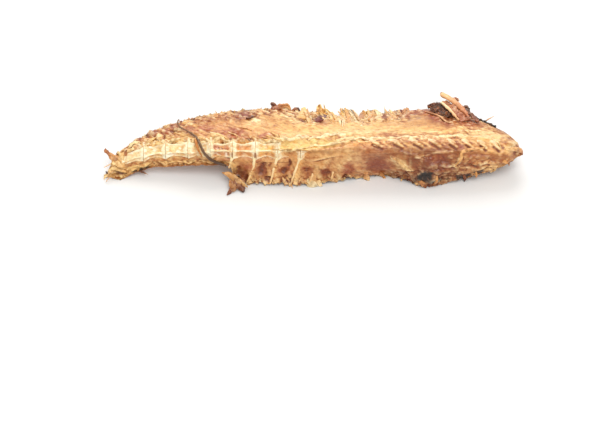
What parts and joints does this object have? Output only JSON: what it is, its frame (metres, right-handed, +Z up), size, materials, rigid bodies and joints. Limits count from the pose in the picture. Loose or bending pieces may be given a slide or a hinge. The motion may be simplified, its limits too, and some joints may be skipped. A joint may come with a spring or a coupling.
{
  "type": "fish skeleton",
  "caption": "Dried backbone of a cod-like fish with rib stubs, cut neural spines and walls of dried flesh, lying like a low roof on its belly side.",
  "frame": {"origin": "centre of the outline seen from above, on the ground that the backbone lies on", "axes": "+X along the backbone from the tail end to the head end, +Z up, +Y towards the wider wall of the roof"},
  "size_m": [0.1904, 0.0544, 0.0214],
  "materials": {
    "bone": "dry cream bone, satin",
    "dried_flesh": "dried golden-brown flesh and membrane, half gloss",
    "sinew": "dried grey-brown blood vessel",
    "dark_skin": "dried black skin, crinkled"
  },
  "bodies": {
    "root": {"vertebra_01": "bone", "vertebra_02": "bone", "vertebra_03": "bone", "vertebra_04": "bone", "vertebra_05": "bone", "vertebra_06": "bone", "vertebra_07": "bone", "vertebra_08": "bone", "vertebra_09": "bone", "vertebra_10": "bone", "vertebra_11": "bone", "vertebra_12": "bone", "vertebra_13": "bone", "vertebra_14": "bone", "vertebra_15": "bone", "vertebra_16": "bone", "vertebra_17": "bone", "vertebra_18": "bone", "vertebra_19": "bone", "tail_flesh": "dried_flesh", "near_wall_ribs": "dried_flesh", "near_wall_head": "dried_flesh", "far_wall_ribs": "dried_flesh", "far_wall_head": "dried_flesh", "shoulder_end": "dried_flesh", "tail_tip": "dried_flesh", "tail_flap": "dried_flesh", "belly_scrap": "dried_flesh", "vessel": "sinew", "shoulder_rods": "bone", "skin_patch": "dark_skin", "skin_strip": "dark_skin"}
  },
  "joints": []
}
